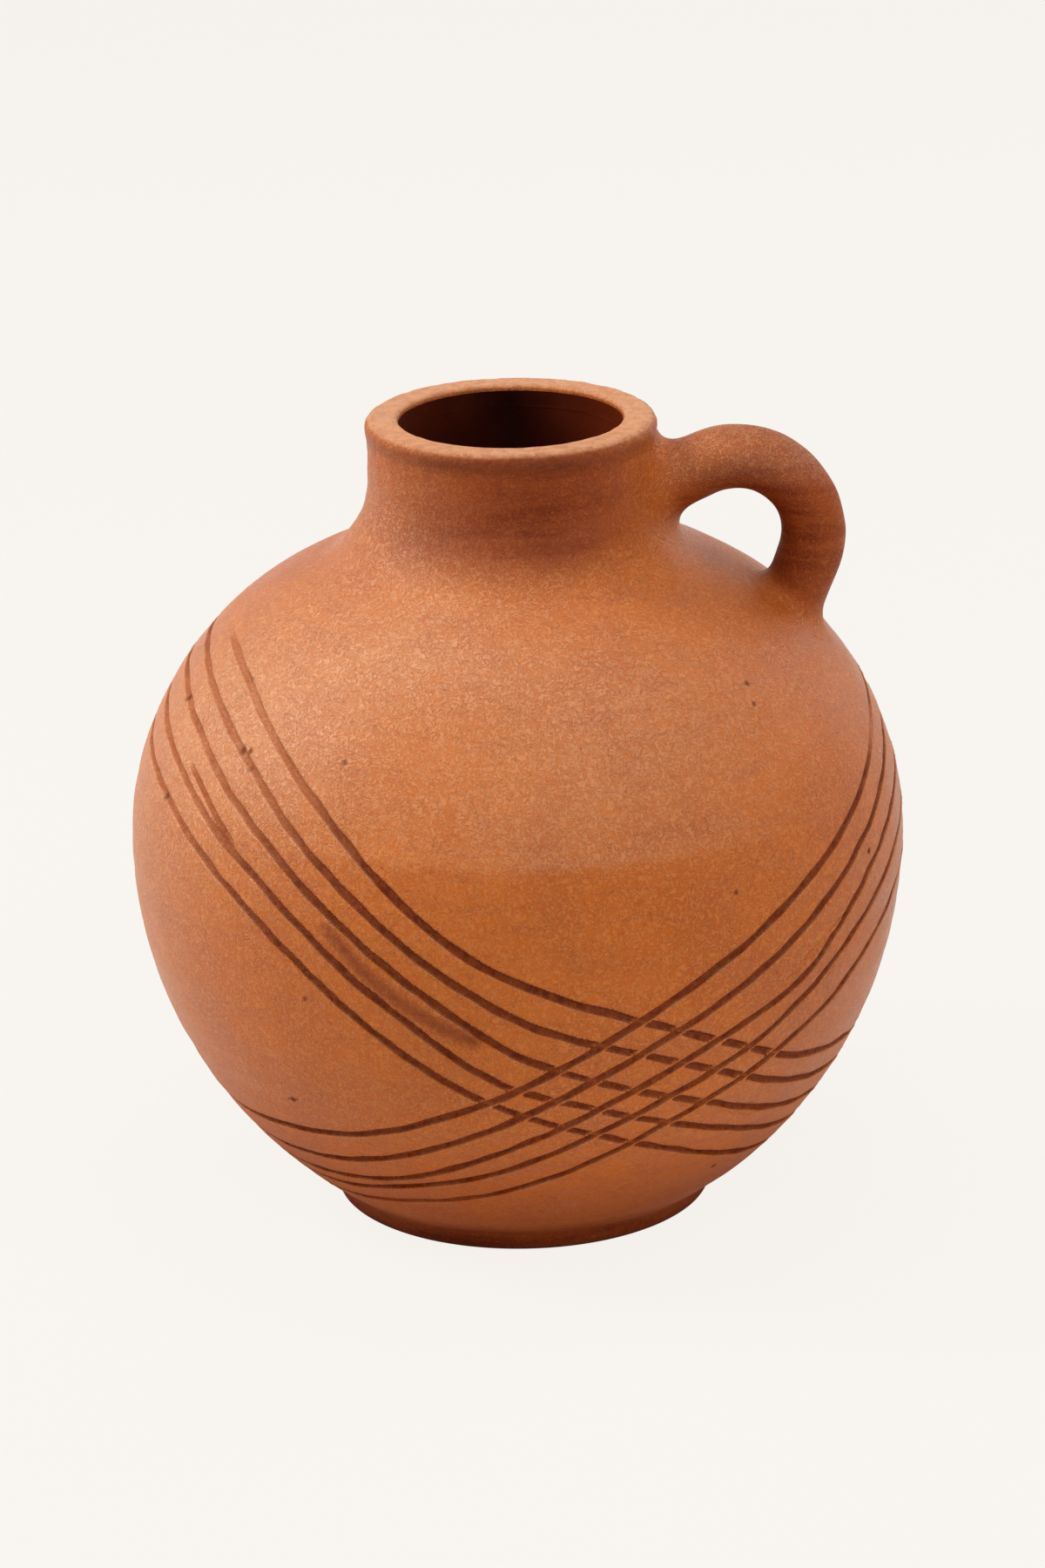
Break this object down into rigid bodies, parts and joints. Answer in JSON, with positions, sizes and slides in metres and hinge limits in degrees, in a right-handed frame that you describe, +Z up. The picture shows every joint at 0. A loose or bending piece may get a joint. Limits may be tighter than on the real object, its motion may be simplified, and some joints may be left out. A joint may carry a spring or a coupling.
{
  "type": "water jar",
  "caption": "Round-bellied terracotta water jar with a short neck, one loop handle at the shoulder and two crossing bands of incised lines.",
  "frame": {"origin": "centre of the foot, on the ground", "axes": "+Z up along the jar's axis and out of the mouth, +X towards the handle, -Y towards the camera of the picture"},
  "size_m": [0.22, 0.22, 0.23],
  "materials": {
    "foot": "satin",
    "lower_body": "satin",
    "upper_body": "satin",
    "neck": "satin",
    "rim": "satin",
    "handle": "satin"
  },
  "bodies": {
    "root": {"foot": "foot", "lower_body": "lower_body", "upper_body": "upper_body", "neck": "neck", "rim": "rim", "handle": "handle"}
  },
  "joints": []
}
